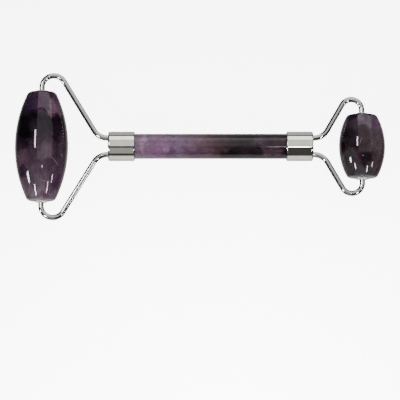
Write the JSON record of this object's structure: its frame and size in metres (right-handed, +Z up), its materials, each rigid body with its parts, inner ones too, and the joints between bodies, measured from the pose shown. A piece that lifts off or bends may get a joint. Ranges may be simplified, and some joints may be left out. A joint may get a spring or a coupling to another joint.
{
  "type": "face roller",
  "caption": "Double-ended face massage roller: barrel-shaped amethyst stones spinning in bent wire yokes at the ends of a round stone handle with polished metal ferrules.",
  "frame": {"origin": "on the handle's axis, midway between the outer faces of the two rollers, which is the centre of the bounding box", "axes": "+X along the handle from the large roller to the small one, Y along both rollers' axles in the plane of the wire yokes, +Z up, square to the yokes"},
  "size_m": [0.1448, 0.0584, 0.0208],
  "materials": {
    "amethyst": "polished",
    "steel_wire": "polished",
    "plated_brass": "polished",
    "nylon": "satin",
    "epoxy": "cured"
  },
  "bodies": {
    "handle": {"handle_rod": "amethyst", "large_ferrule": "plated_brass", "small_ferrule": "plated_brass", "large_cement_plug": "epoxy", "small_cement_plug": "epoxy", "large_yoke": "steel_wire", "small_yoke": "steel_wire"},
    "large_roller": {"large_barrel_stone": "amethyst", "large_bushing_left": "nylon", "large_bushing_right": "nylon"},
    "small_roller": {"small_barrel_stone": "amethyst", "small_bushing_left": "nylon", "small_bushing_right": "nylon"}
  },
  "joints": [
    {"name": "large_roller_spin", "type": "hinge", "parent": "handle", "child": "large_roller", "pos_m": [-0.062, 0, 0], "axis": [0, 1, 0], "continuous": true},
    {"name": "small_roller_spin", "type": "hinge", "parent": "handle", "child": "small_roller", "pos_m": [0.0634, 0, 0], "axis": [0, 1, 0], "continuous": true}
  ]
}
